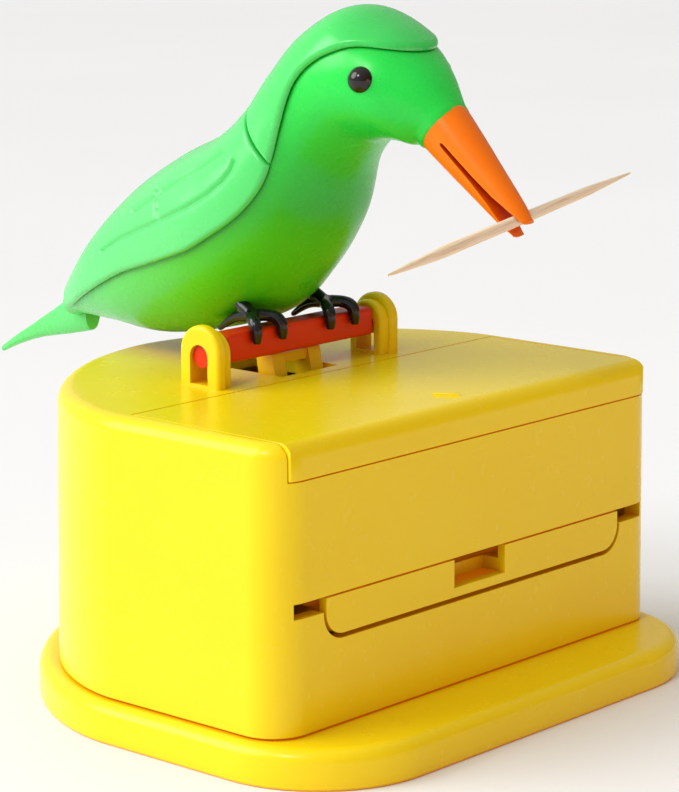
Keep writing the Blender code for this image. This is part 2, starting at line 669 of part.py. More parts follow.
def build_eyes():
    for name, side in (("eye_left", -1), ("eye_right", 1)):
        bm = bmesh.new()
        bmesh.ops.create_uvsphere(bm, u_segments=20, v_segments=12, radius=EYE_RADIUS * MM)
        bmesh.ops.translate(bm, vec=Vector((side * EYE_X, *EYE_PLACE)) * MM, verts=bm.verts)
        eye = place(name, mesh_from(bm, name), PARTS, BLACK_PLASTIC)
        cut(eye, loft("clear", BIRD_STATIONS, BIRD_POWER, GAP))


def build_feet():
    """A short leg, two toes over the front of the bar and one behind, for each foot."""
    front = BAR_FRONT - GAP - TOE_RADIUS
    top = BAR_TOP + GAP + TOE_RADIUS
    for name, side in (("foot_left", -1), ("foot_right", 1)):
        x = side * FOOT_X
        ankle = (x, PERCH_Y + 0.2, top + 0.5)
        leg = [ankle, (x * 0.95, BAR_BACK + 1.0, 49.6), (x * 0.88, BAR_BACK + 4.6, 51.5)]
        back_toe = [ankle, (x, BAR_BACK + 1.4, top + 0.1), (x, BAR_BACK + 4.4, top - 1.6)]
        toes = [leg, back_toe]
        for spread in (-TOE_SPREAD, TOE_SPREAD):
            knuckle = (x + spread * 0.8, front + 1.2, top + 0.3)
            tip = (x + spread, front, top - 2.0)
            toes.append([ankle, knuckle, (x + spread, front - 0.1, top - 0.7), tip])
        bm = bmesh.new()
        for toe in toes:
            bm.from_mesh(tube("toe", toe, TOE_RADIUS))
        foot = place(name, mesh_from(bm, name), PARTS, BLACK_PLASTIC)
        skin = foot.modifiers.new("one_skin", "REMESH")
        skin.mode = "VOXEL"
        skin.voxel_size = FOOT_VOXEL * MM
        cut(foot, loft("clear", BIRD_STATIONS, BIRD_POWER, GAP))


def build_toothpick():
    mesh = bpy.data.meshes.new("toothpick")
    half = PICK_LENGTH / 2
    shoulder = half - PICK_TAPER
    profile = [(0, half), (PICK_TIP_RADIUS, half), (PICK_RADIUS, shoulder), (PICK_RADIUS, -shoulder),
               (PICK_TIP_RADIUS, -half), (0, -half)]
    bm = bmesh.new()
    verts = [bm.verts.new((r * MM, 0, z * MM)) for r, z in profile]
    for start, end in zip(verts[:-1], verts[1:]):
        bm.edges.new((start, end))
    bm.to_mesh(mesh)
    bm.free()
    pick = place("toothpick", mesh, PARTS, WOOD)
    pick.location = Vector(PICK_CENTRE) * MM
    pick.rotation_euler = Vector(PICK_DIRECTION).to_track_quat("Z", "Y").to_euler()
    turn = pick.modifiers.new("turn", "SCREW")
    turn.steps = 16
    turn.render_steps = 16
    turn.use_merge_vertices = True
    turn.merge_threshold = 0.00001


clear_scene()
PARTS = new_collection("bird_toothpick_dispenser")
CUTTERS = new_collection("cutters")
YELLOW_PLASTIC = plastic("yellow_plastic", YELLOW)
GREEN_PLASTIC = plastic("green_plastic", GREEN)
PALE_GREEN_PLASTIC = plastic("pale_green_plastic", PALE_GREEN)
ORANGE_PLASTIC = plastic("orange_plastic", ORANGE)
RED_PLASTIC = plastic("red_plastic", RED_ORANGE)
BLACK_PLASTIC = plastic("black_plastic", BLACK, 0.15)
BARE_STEEL = plastic("steel", STEEL, 0.3, 1.0)
WOOD = plastic("birch", BIRCH, 0.6)
build_base_plate()
build_housing()
build_lid()
build_magazine()
build_tray()
build_tray_guides()
build_rocker_bracket()
build_rocker()
build_rocker_pin()
build_return_spring()
build_screws()
build_perch_bar()
build_perch_arm()
build_bird_body()
build_bird_shells()
build_beak()
build_eyes()
build_feet()
build_toothpick()
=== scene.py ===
"""Looks for the bird toothpick dispenser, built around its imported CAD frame.

Sizes are in millimetres and become metres through MM. The frame has its origin at the centre of
the base plate's underside, -Y is the front and +Z is up.
"""
import json
import math

import bmesh
import bpy
import numpy as np
from mathutils import Matrix, Vector


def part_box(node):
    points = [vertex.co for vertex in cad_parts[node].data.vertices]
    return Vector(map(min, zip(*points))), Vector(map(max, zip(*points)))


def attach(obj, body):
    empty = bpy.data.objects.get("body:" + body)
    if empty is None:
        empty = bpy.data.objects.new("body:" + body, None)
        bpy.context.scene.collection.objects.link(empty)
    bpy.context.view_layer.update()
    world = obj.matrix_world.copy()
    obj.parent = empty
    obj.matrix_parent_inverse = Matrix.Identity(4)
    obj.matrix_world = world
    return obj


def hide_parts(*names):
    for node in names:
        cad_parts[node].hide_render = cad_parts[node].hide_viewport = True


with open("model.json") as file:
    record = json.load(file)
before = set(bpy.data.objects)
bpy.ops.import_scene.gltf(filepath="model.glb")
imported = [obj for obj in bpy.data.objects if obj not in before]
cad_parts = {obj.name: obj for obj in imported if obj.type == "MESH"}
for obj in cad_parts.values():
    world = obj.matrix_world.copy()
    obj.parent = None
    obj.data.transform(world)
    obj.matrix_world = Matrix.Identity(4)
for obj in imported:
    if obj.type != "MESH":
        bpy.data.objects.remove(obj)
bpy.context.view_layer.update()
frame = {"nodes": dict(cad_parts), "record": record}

MM = 0.001


def node_mm(name):
    """Lowest and highest corner of a CAD node, in millimetres."""
    low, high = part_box(name)
    return low / MM, high / MM


# Sizes read from the frame
PLATE_LOW, PLATE_HIGH = node_mm("base_plate")
BOX_LOW, BOX_HIGH = node_mm("housing")
LID_LOW, LID_HIGH = node_mm("lid")
TRAY_LOW, TRAY_HIGH = node_mm("dispensing_tray")
BAR_LOW, BAR_HIGH = node_mm("perch_bar")

# Box details that follow the CAD design
PLATE_CORNER = 16.0
BOX_TOP = 40.5
BOX_CORNER = 5.0
SIDE_END = 0.3
BACK_POWER = 1.75
WALL = 2.0
DRAFT = 0.55
GAP = 0.3
SEAM_GAP = 0.14
SLOT_HALF = 34.0
SLOT_LOW = 19.45
SLOT_HIGH = 21.35
PANEL_THICKNESS = 1.2
PANEL_CORNER = 3.0
NOTCH_HALF = 5.0
NOTCH_LOW = 17.5
FLOOR_LOW = 17.5
FLOOR_HIGH = 19.2
LID_UNDERSIDE = 38.5
LID_NOSE = 2.1
POST_OUTER = 17.4
POST_STEP = 15.7
POST_INNER = 14.3
POST_HALF = 3.4
POST_TOP = 48.4
STEP_HALF = 2.9
STEP_TOP = 47.6
AXLE_RADIUS = 1.45
PERCH_Y = 4.6
PERCH_Z = 44.4
BAR_FRONT = 2.8
BAR_BACK = 6.4
BAR_BOTTOM = 43.2
BAR_TOP = 46.9

# Rounding radii of the moulded edges
PLATE_TOP_ROUND = 1.7
PLATE_FOOT_ROUND = 0.4
BOX_TOP_ROUND = 2.0
POST_ROUND = 0.55
BAR_ROUND = 0.55
HOUSING_ROUND = 0.22
LID_ROUND = 0.13
TRAY_ROUND = 0.18
BEAK_ROUND = 0.2

# Holes below each base screw, and the slot that the perch arm goes down through
COUNTERBORE_RADIUS = 3.0
COUNTERBORE_TOP = 2.8
SCREW_HOLE_RADIUS = 1.6
DECK_SLOT_HALF = 5.4
DECK_SLOT_FRONT = 1.4
DECK_SLOT_BACK = 16.6

# Lid's raised arrow, right half of the tray's floor and the hole for the rocker's foot
LID_ARROW = ((-1.8, -20.6), (0.0, -23.6), (1.8, -20.6))
LID_ARROW_RISE = 0.28
TRAY_FLOOR_SIDE = 27.6
TRAY_FLOOR_BACK = ((27.6, -20.4), (9.0, -17.6), (5.4, -14.0))
TRAY_TONGUE_HALF = 5.4
FOOT_HOLE_SETBACK = 4.0
FOOT_HOLE_HALF_X = 2.6
FOOT_HOLE_HALF_Y = 1.75

# Bird form: upper (y, z), lower (y, z) and half width, from tail root to face
BIRD_STATIONS = (
    (43.5, 47.0, 42.0, 43.6, 4.2),
    (36.0, 55.5, 34.0, 43.4, 8.0),
    (28.0, 62.3, 23.7, 43.1, 10.4),
    (19.5, 67.2, 8.6, 46.7, 12.2),
    (12.0, 70.6, 2.2, 51.8, 11.9),
    (6.9, 74.7, -3.2, 59.0, 10.7),
    (3.0, 79.5, -6.0, 66.7, 9.5),
    (-1.7, 84.3, -9.8, 70.8, 9.1),
    (-8.0, 87.2, -13.0, 71.6, 8.8),
    (-14.4, 85.1, -15.6, 71.6, 7.7),
    (-19.0, 81.5, -17.0, 71.3, 5.8),
    (-22.7, 76.9, -18.0, 71.5, 3.75),
)
BIRD_POWER = 2.15
SHELL_INNER = 0.3
SHELL_OUTER = 0.95
RIM_RADIUS = 0.7
GROOVE_DEPTH = 0.42
GROOVE_WIDTH = 0.34
MID_SKIN = 0.6
SEAM_HALF_GAP = 0.12
WING_START = 0.1
# Tail blade, in the same order
TAIL_STATIONS = (
    (41.2, 50.4, 42.2, 41.0, 1.5),
    (46.0, 45.5, 46.2, 40.1, 1.4),
    (52.0, 41.7, 52.4, 38.8, 1.2),
    (57.0, 38.8, 57.3, 37.2, 0.9),
    (60.3, 36.8, 60.3, 35.9, 0.5),
)
TAIL_POWER = 2.6
TAIL_FRONT = 42.0
# Lower edge of the cap and wing shells from the forehead to the tail, seen from the side
SHELL_EDGE = (
    (-26.0, 83.4), (-18.2, 83.2), (-15.4, 83.6), (-13.4, 83.8), (-11.8, 83.7), (-10.0, 83.0),
    (-7.9, 82.1), (-5.7, 80.6), (-4.3, 78.9), (-3.4, 76.7), (-2.8, 74.8), (-2.1, 72.2),
    (-1.7, 70.4), (-1.2, 68.5), (-0.5, 66.3), (0.5, 64.7), (2.2, 62.6), (4.7, 60.5),
    (7.8, 58.6), (11.0, 56.7), (14.8, 55.4), (19.1, 54.0), (24.9, 52.3), (29.8, 50.2),
    (36.0, 47.3), (46.0, 42.6),
)
# Line where the cap meets the wings, from low front to high back
SEAM_START = (-1.1, 68.5)
SEAM_END = (12.0, 81.6)
# Feather grooves of a wing, seen from the side
GROOVES = (
    ((7.0, 69.1), (9.7, 67.3), (13.0, 65.5), (17.4, 63.2)),
    ((4.0, 68.4), (4.2, 67.4), (5.5, 65.8), (8.0, 63.9), (11.4, 62.0), (15.1, 60.4), (16.7, 59.7),
     (20.2, 58.4), (25.0, 56.6), (29.3, 54.4)),
    ((18.3, 62.8), (20.3, 61.5), (23.1, 60.1)),
    ((18.9, 63.5), (17.5, 61.9), (16.5, 59.8)),
)

# Beak: a tapered round horn from BEAK_ROOT, dipping forward and down
BEAK_ROOT = (-20.55, 74.15)
BEAK_DIP_DEG = 42.6
# Distance along the horn and its radius
BEAK_TAPER = (
    (-1.5, 3.2), (0.0, 3.4), (1.0, 3.46), (5.0, 3.1), (10.5, 2.5), (15.0, 2.0), (17.0, 1.6),
)
# Outline of the slit: distance along the horn and height above its middle line
BEAK_SLIT = (
    (3.0, 0.15), (3.3, 0.38), (3.9, 0.42), (9.0, 0.48), (12.5, 0.64), (14.5, 0.88),
    (16.0, 1.02), (20.0, 1.1), (20.0, -1.15), (16.0, -1.08), (14.5, -0.86), (12.5, -0.5),
    (9.0, -0.22), (3.9, -0.1), (3.3, -0.05),
)

# The held toothpick, a little slimmer towards its right end
PICK_CENTRE = (0.0, -32.45, 63.3)
PICK_LENGTH = 65.0
PICK_RADIUS = 0.7
PICK_TIP_RADIUS = 0.12
PICK_THINNING = 0.16
PICK_TAPER = 13.0
PICK_DIRECTION = (63.49, 13.3, 4.2)

EYE_X = 7.3
EYE_RADIUS = 1.7
EYE_PLACE = (-13.8, 79.6)
FOOT_X = 7.0
TOE_SPREAD = 2.4
TOE_RADIUS = 0.75
FOOT_VOXEL = 0.16

# Directions: the dome's bright side seen from the object, and the way the sun's light travels
DOME_BRIGHT_SIDE = (-0.44, 0.66, 0.61)
DOME_DIM, DOME_BRIGHT = 0.12, 0.82
DOME_WARM = (1.0, 0.84, 0.66)
SUN_TRAVEL = (0.64, -0.54, -0.55)
SUN_POWER = 2.1
SUN_SPREAD_DEG = 45

CAMERA_PLACE = (-281.76, -254.96, 115.07)
CAMERA_AZIMUTH = -48.262
CAMERA_ELEVATION = 11.56
CAMERA_ROLL = -0.16
CAMERA_LENS = 136.27


# ---------------------------------------------------------------- mesh helpers

def new_object(name, mesh, smooth_deg=30.0):
    obj = bpy.data.objects.new(name, mesh)
    bpy.context.scene.collection.objects.link(obj)
    mesh.shade_smooth()
    mesh.set_sharp_from_angle(angle=math.radians(smooth_deg))
    return obj


def mesh_from(bm, name):
    bmesh.ops.recalc_face_normals(bm, faces=bm.faces)
    mesh = bpy.data.meshes.new(name)
    bm.to_mesh(mesh)
    bm.free()
    return mesh


def evaluated_mesh(obj):
    graph = bpy.context.evaluated_depsgraph_get()
    return bpy.data.meshes.new_from_object(obj.evaluated_get(graph))


def box_mesh(name, low, high):
    bm = bmesh.new()
    bmesh.ops.create_cube(bm, size=1.0)
    size = Vector(high) - Vector(low)
    bmesh.ops.scale(bm, vec=size * MM, verts=bm.verts)
    bmesh.ops.translate(bm, vec=(Vector(high) + Vector(low)) / 2 * MM, verts=bm.verts)
    return mesh_from(bm, name)


def rod_mesh(name, radius, start, end, sides=64):
    bm = bmesh.new()
    line = Vector(end) - Vector(start)
    bmesh.ops.create_cone(bm, cap_ends=True, segments=sides, radius1=radius * MM,
                          radius2=radius * MM, depth=line.length * MM)
    turn = line.to_track_quat("Z", "Y").to_matrix().to_4x4()
    middle = (Vector(start) + Vector(end)) / 2 * MM
    bmesh.ops.transform(bm, matrix=Matrix.Translation(middle) @ turn, verts=bm.verts)
    return mesh_from(bm, name)


AXES = {
    "X": Matrix(((0, 0, 1, 0), (1, 0, 0, 0), (0, 1, 0, 0), (0, 0, 0, 1))),
    "Y": Matrix(((1, 0, 0, 0), (0, 0, -1, 0), (0, 1, 0, 0), (0, 0, 0, 1))),
    "Z": Matrix.Identity(4),
}


def slab_mesh(name, outline, low, high, along="Z"):
    """Extrude a flat outline from low to high along one axis, with one face at each end."""
    if along == "Y":
        low, high = -high, -low
    bm = bmesh.new()
    verts = [bm.verts.new((u * MM, v * MM, low * MM)) for u, v in outline]
    face = bm.faces.new(verts)
    grown = bmesh.ops.extrude_face_region(bm, geom=[face])
    lifted = [item for item in grown["geom"] if isinstance(item, bmesh.types.BMVert)]
    bmesh.ops.translate(bm, vec=(0, 0, (high - low) * MM), verts=lifted)
    bmesh.ops.transform(bm, matrix=AXES[along], verts=bm.verts)
    return mesh_from(bm, name)


def boolean(obj, mesh, operation):
    other = new_object(obj.name + "_tool", mesh)
    modifier = obj.modifiers.new(operation.lower(), "BOOLEAN")
    modifier.operation = operation
    modifier.solver = "EXACT"
    modifier.object = other
    result = evaluated_mesh(obj)
    obj.modifiers.clear()
    old = obj.data
    obj.data = result
    bpy.data.meshes.remove(old)
    bpy.data.objects.remove(other, do_unlink=True)


def cut(obj, *meshes):
    for mesh in meshes:
        boolean(obj, mesh, "DIFFERENCE")


def join(obj, *meshes):
    for mesh in meshes:
        boolean(obj, mesh, "UNION")


def soften(obj, width, segments=3, angle=38.0):
    """Round every hard edge a little and shade it smooth, as a moulding's edges are."""
    modifier = obj.modifiers.new("edge_round", "BEVEL")
    modifier.width = width * MM
    modifier.segments = segments
    modifier.limit_method = "ANGLE"
    modifier.angle_limit = math.radians(angle)
    modifier.harden_normals = True
    modifier.use_clamp_overlap = True
    obj.data = evaluated_mesh(obj)
    obj.modifiers.clear()
    settle_normals(obj)


def settle_normals(obj):
    """Smooth shading in which the large flat faces stay flat."""
    obj.data.shade_smooth()
    obj.data.set_sharp_from_angle(angle=math.radians(40))
    weighting = obj.modifiers.new("weighted", "WEIGHTED_NORMAL")
    weighting.mode = "FACE_AREA"
    weighting.weight = 50
    weighting.keep_sharp = True
    obj.data = evaluated_mesh(obj)
    obj.modifiers.clear()


def arc(centre, radius, start_deg, end_deg, steps):
    points = []
    for i in range(steps + 1):
        angle = math.radians(start_deg + (end_deg - start_deg) * i / steps)
        points.append((centre[0] + radius * math.cos(angle), centre[1] + radius * math.sin(angle)))
    return points


def d_outline(half, front, back, corner, steps=64):
    """Straight front and sides, rounded front corners and a bowed back."""
    right = [(half - corner, front)]
    right += arc((half - corner, front + corner), corner, -90, 0, 14)[1:]
    depth = back - SIDE_END
    for i in range(steps + 1):
        angle = math.radians(90 * i / steps)
        x = half * math.cos(angle) ** (2 / BACK_POWER)
        right.append((x, SIDE_END + depth * math.sin(angle) ** (2 / BACK_POWER)))
    left = [(-x, y) for x, y in reversed(right[:-1])]
    return right + left


def rounded_box_outline(half, low, high, corner):
    right = arc((half - corner, low + corner), corner, -90, 0, 10) + [(half, high)]
    left = [(-x, z) for x, z in reversed(right)]
    return right + left


def arch_outline(half, top, foot, steps=28):
    round_top = arc((PERCH_Y, top - half), half, 0, 180, steps)
    return [(PERCH_Y + half, foot)] + round_top + [(PERCH_Y - half, foot)]


def round_edges(mesh, width, segments, chosen):
    """Round the hard edges whose two ends, in millimetres, are both chosen."""
    bm = bmesh.new()
    bm.from_mesh(mesh)
    edges = []
    for edge in bm.edges:
        hard = len(edge.link_faces) == 2 and edge.calc_face_angle() > math.radians(50)
        if hard and all(chosen(vert.co / MM) for vert in edge.verts):
            edges.append(edge)
    bmesh.ops.bevel(bm, geom=edges, offset=width * MM, segments=segments, profile=0.5,
                    affect="EDGES")
    bm.to_mesh(mesh)
    bm.free()


# ---------------------------------------------------------------- node helpers

class Nodes:
    """Short calls for building one node material."""

    def __init__(self, name):
        self.material = bpy.data.materials.new(name)
        self.material.use_nodes = True
        self.tree = self.material.node_tree
        self.shader = self.tree.nodes["Principled BSDF"]
        self.place = self.add("ShaderNodeTexCoord").outputs["Object"]

    def add(self, kind, **settings):
        node = self.tree.nodes.new(kind)
        for key, value in settings.items():
            setattr(node, key, value)
        return node

    def link(self, start, end):
        self.tree.links.new(start, end)

    def set(self, **values):
        for key, value in values.items():
            self.shader.inputs[key.replace("_", " ")].default_value = value

    def noise(self, scale, detail=3.0, roughness=0.5, stretch=None):
        node = self.add("ShaderNodeTexNoise")
        node.inputs["Scale"].default_value = scale
        node.inputs["Detail"].default_value = detail
        node.inputs["Roughness"].default_value = roughness
        start = self.place
        if stretch is not None:
            mapping = self.add("ShaderNodeMapping")
            mapping.inputs["Scale"].default_value = stretch
            self.link(self.place, mapping.inputs["Vector"])
            start = mapping.outputs["Vector"]
        self.link(start, node.inputs["Vector"])
        return node.outputs["Fac"]

    def ramp(self, value, *stops):
        node = self.add("ShaderNodeValToRGB")
        elements = node.color_ramp.elements
        while len(elements) < len(stops):
            elements.new(0.5)
        for element, (position, colour) in zip(elements, stops):
            element.position = position
            element.color = (*colour, 1.0)
        self.link(value, node.inputs["Fac"])
        return node.outputs["Color"]

    def spread(self, value, low, high, start=0.3, end=0.7):
        """Map value from start..end to low..high."""
        node = self.add("ShaderNodeMapRange")
        node.inputs["From Min"].default_value = start
        node.inputs["From Max"].default_value = end
        node.inputs["To Min"].default_value = low
        node.inputs["To Max"].default_value = high
        self.link(value, node.inputs["Value"])
        return node.outputs["Result"]

    def mix(self, share, first, second):
        """Colour between first and second. Each is a colour or a socket."""
        node = self.add("ShaderNodeMix", data_type="RGBA")
        self.link(share, node.inputs[0])
        for socket, value in ((node.inputs[6], first), (node.inputs[7], second)):
            if isinstance(value, tuple):
                socket.default_value = (*value, 1.0)
            else:
                self.link(value, socket)
        return node.outputs[2]

    def bump(self, height, strength, distance_mm):
        node = self.add("ShaderNodeBump")
        node.inputs["Strength"].default_value = strength
        node.inputs["Distance"].default_value = distance_mm * MM
        self.link(height, node.inputs["Height"])
        self.link(node.outputs["Normal"], self.shader.inputs["Normal"])

    def axis(self, name):
        node = self.add("ShaderNodeSeparateXYZ")
        self.link(self.place, node.inputs["Vector"])
        return node.outputs[name]


def polished_plastic(name, rough, shine, soft=0.0, soft_radius=None):
    """Glossy plastic without its colour: uneven polish, a faint ripple and light below the skin."""
    nodes = Nodes(name)
    polish = nodes.noise(500.0, 4.0, 0.6)
    nodes.link(nodes.spread(polish, *rough), nodes.shader.inputs["Roughness"])
    ripple = nodes.noise(260.0, 2.0, 0.5)
    nodes.bump(ripple, 0.015, 0.05)
    nodes.set(IOR=1.5, Specular_IOR_Level=shine)
    if soft > 0.0:
        nodes.set(Subsurface_Weight=soft, Subsurface_Radius=soft_radius, Subsurface_Scale=1.0)
    return nodes


def moulded_plastic(name, light, deep, rough, shine, soft=0.0, soft_radius=None):
    """Polished plastic with soft flow marks between two near colours."""
    nodes = polished_plastic(name, rough, shine, soft, soft_radius)
    flow = nodes.noise(45.0, 2.0, 0.5, (1.0, 1.0, 1.8))
    nodes.colour = nodes.ramp(flow, (0.32, deep), (0.68, light))
    nodes.link(nodes.colour, nodes.shader.inputs["Base Color"])
    return nodes


def paint_recess_shade(nodes, deep, reach_mm, low, high, painted_glow=0.0):
    """Painted shade: a deep colour laid into recesses and corners, where shade falls.

    The plastic is all deep colour where its openness is low or less, and none where it is high or
    more. Openness goes from 0 in a closed corner to 1 on an open face."""
    shade = nodes.add("ShaderNodeAmbientOcclusion")
    shade.samples = 16
    shade.inputs["Distance"].default_value = reach_mm * MM
    share = nodes.spread(shade.outputs["AO"], 0.0, 1.0, low, high)
    nodes.link(nodes.mix(share, deep, nodes.colour), nodes.shader.inputs["Base Color"])
    # Painted glow: the same recesses also give off the deep colour as light, though the plastic is
    # no lamp.
    if painted_glow > 0.0:
        nodes.shader.inputs["Emission Color"].default_value = (*deep, 1.0)
        nodes.link(nodes.spread(share, painted_glow, 0.0, 0.0, 0.3),
                   nodes.shader.inputs["Emission Strength"])


def yellow_material():
    nodes = moulded_plastic("yellow_plastic", (0.93, 0.69, 0.006), (0.92, 0.67, 0.004),
                            (0.24, 0.28), 0.28)
    # Painted shade: deep orange in the recesses, with a painted glow there as well.
    paint_recess_shade(nodes, (0.80, 0.30, 0.001), 9.0, 0.0, 0.6, 0.16)
    return nodes.material


def green_material():
    """Green with painted light and shade: it pales towards the rear as a painted sheen where the
    light from behind falls, and deepens in the recesses as painted shade.
    """
    nodes = moulded_plastic("green_plastic", (0.05, 0.70, 0.115), (0.035, 0.64, 0.095),
                            (0.20, 0.30), 0.5, 0.2, (0.001, 0.004, 0.001))
    # Painted sheen: paler green towards the rear, where the light from behind falls.
    length = nodes.spread(nodes.axis("Y"), 0.0, 1.0, -0.012, 0.014)
    nodes.colour = nodes.mix(length, nodes.colour, (0.12, 0.72, 0.19))
    # Painted shade: a deeper green in the recesses.
    paint_recess_shade(nodes, (0.004, 0.46, 0.03), 3.0, 0.2, 0.85)
    return nodes.material


def body_green_material():
    """The clearer green of the body, with a painted reflection of the yellow box towards the belly,
    painted shade and light by height and a painted sheen at the tail.
    """
    nodes = polished_plastic("pale_green_plastic", (0.22, 0.34), 0.45, 0.25,
                             (0.001, 0.004, 0.001))
    # Painted reflection, shade and light by height: yellow-green low down for the yellow box below,
    # darkest round the chest, brightest towards the head.
    height = nodes.spread(nodes.axis("Z"), 0.0, 1.0, 0.044, 0.080)
    painted_light_tone = nodes.ramp(height, (0.0, (0.12, 0.62, 0.001)), (0.30, (0.07, 0.55, 0.002)),
                      (0.52, (0.018, 0.44, 0.012)), (0.8, (0.006, 0.62, 0.050)),
                      (1.0, (0.006, 0.74, 0.075)))
    # Painted sheen: paler green towards the tail.
    length = nodes.spread(nodes.axis("Y"), 0.0, 1.0, 0.012, 0.036)
    rear = nodes.mix(length, painted_light_tone, (0.13, 0.68, 0.19))
    flow = nodes.noise(40.0, 2.0)
    nodes.colour = nodes.mix(nodes.spread(flow, 0.0, 0.2), rear, (0.06, 0.60, 0.03))
    # Painted shade: a dark green in the recesses.
    paint_recess_shade(nodes, (0.01, 0.30, 0.001), 4.0, 0.1, 0.85)
    return nodes.material


def orange_material():
    nodes = moulded_plastic("orange_plastic", (0.92, 0.20, 0.001), (0.90, 0.165, 0.001),
                            (0.28, 0.38), 0.22, 0.15, (0.004, 0.001, 0.0003))
    # Painted shade: dark orange-red in the recesses.
    paint_recess_shade(nodes, (0.55, 0.02, 0.001), 2.5, 0.1, 0.8)
    return nodes.material


def red_material():
    nodes = moulded_plastic("red_plastic", (0.74, 0.042, 0.001), (0.66, 0.028, 0.001),
                            (0.28, 0.38), 0.22)
    # Painted shade: dark red in the recesses.
    paint_recess_shade(nodes, (0.36, 0.006, 0.001), 4.0, 0.1, 0.8)
    return nodes.material


def black_material():
    return moulded_plastic("black_plastic", (0.006, 0.006, 0.007), (0.003, 0.003, 0.004),
                           (0.14, 0.24), 0.5).material


def eye_material():
    return moulded_plastic("eye_black", (0.012, 0.006, 0.004), (0.003, 0.002, 0.002),
                           (0.05, 0.10), 0.5).material


def steel_material():
    """Steel with a fine grain that runs up the part."""
    nodes = Nodes("steel")
    grain = nodes.noise(700.0, 4.0, 0.6, (1.0, 1.0, 0.1))
    nodes.link(nodes.ramp(grain, (0.3, (0.42, 0.42, 0.41)), (0.7, (0.62, 0.62, 0.60))),
               nodes.shader.inputs["Base Color"])
    nodes.link(nodes.spread(grain, 0.22, 0.42), nodes.shader.inputs["Roughness"])
    nodes.bump(grain, 0.1, 0.05)
    nodes.set(Metallic=1.0)
    return nodes.material


def wood_material():
    """Pale birch with fine grain along the pick's own length."""
    nodes = Nodes("birch")
    mapping = nodes.add("ShaderNodeMapping")
    turn = Vector(PICK_DIRECTION).to_track_quat("X", "Z").inverted().to_euler()
    mapping.inputs["Rotation"].default_value = turn
    nodes.link(nodes.place, mapping.inputs["Vector"])
    stretch = nodes.add("ShaderNodeMapping")
    stretch.inputs["Scale"].default_value = (0.03, 1.0, 1.0)
    nodes.link(mapping.outputs["Vector"], stretch.inputs["Vector"])
    grain = nodes.add("ShaderNodeTexNoise")
    grain.inputs["Scale"].default_value = 4200.0
    grain.inputs["Detail"].default_value = 4.0
    nodes.link(stretch.outputs["Vector"], grain.inputs["Vector"])
    fibre = grain.outputs["Fac"]
    colour = nodes.ramp(fibre, (0.28, (0.74, 0.52, 0.30)), (0.45, (0.88, 0.70, 0.48)),
                        (0.72, (0.95, 0.82, 0.63)))
    nodes.link(colour, nodes.shader.inputs["Base Color"])
    nodes.link(nodes.spread(fibre, 0.5, 0.75), nodes.shader.inputs["Roughness"])
    nodes.bump(fibre, 0.3, 0.06)
    nodes.set(Subsurface_Weight=0.1, Subsurface_Radius=(0.002, 0.001, 0.0005),
              Subsurface_Scale=1.0)
    return nodes.material


# Each record slot has one look, except that the eyes are glossier than the other black parts
YELLOW = yellow_material()
GREEN = green_material()
BODY_GREEN = body_green_material()
ORANGE = orange_material()
RED = red_material()
BLACK = black_material()
EYE_BLACK = eye_material()
STEEL = steel_material()
BIRCH = wood_material()
SLOT_MATERIALS = {"yellow": YELLOW, "green": GREEN, "pale_green": BODY_GREEN, "orange": ORANGE,
                  "red_orange": RED, "black": BLACK, "steel": STEEL, "birch": BIRCH}


def finish_piece(obj, material, body, slot, *nodes):
    """Give a visible piece its look and the body it rides on, and hide the nodes it stands for;
    slot is not used.
    """
    obj.data.materials.clear()
    obj.data.materials.append(material)
    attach(obj, body)
    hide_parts(*nodes)


# ---------------------------------------------------------------- box

def make_base_plate():
    half = PLATE_HIGH.x
    outline = d_outline(half, PLATE_LOW.y, PLATE_HIGH.y, PLATE_CORNER)
    mesh = slab_mesh("base_plate_skin", outline, 0.0, PLATE_HIGH.z)
    round_edges(mesh, PLATE_TOP_ROUND, 7, lambda p: p.z > PLATE_HIGH.z - 0.1)
    round_edges(mesh, PLATE_FOOT_ROUND, 3, lambda p: p.z < 0.1)
    plate = new_object("base_plate_skin", mesh)
    for number in range(1, 5):
        low, high = node_mm("base_screw_%d" % number)
        x, y = (low.x + high.x) / 2, (low.y + high.y) / 2
        cut(plate, rod_mesh("counterbore", COUNTERBORE_RADIUS, (x, y, -1.0),
                            (x, y, COUNTERBORE_TOP)))
        cut(plate, rod_mesh("hole", SCREW_HOLE_RADIUS, (x, y, 1.0), (x, y, PLATE_HIGH.z + 1)))
    settle_normals(plate)
    finish_piece(plate, YELLOW, "base", "yellow", "base_plate")


def taper_box(mesh):
    """Lean the sides and the back inwards by the draft that lets the box leave its mould."""
    half, back = BOX_HIGH.x, BOX_HIGH.y
    for vert in mesh.vertices:
        share = (vert.co.z / MM - PLATE_HIGH.z) / (BOX_TOP - PLATE_HIGH.z)
        vert.co.x *= 1 - DRAFT / half * share
        if vert.co.y > 0:
            vert.co.y *= 1 - DRAFT / back * share


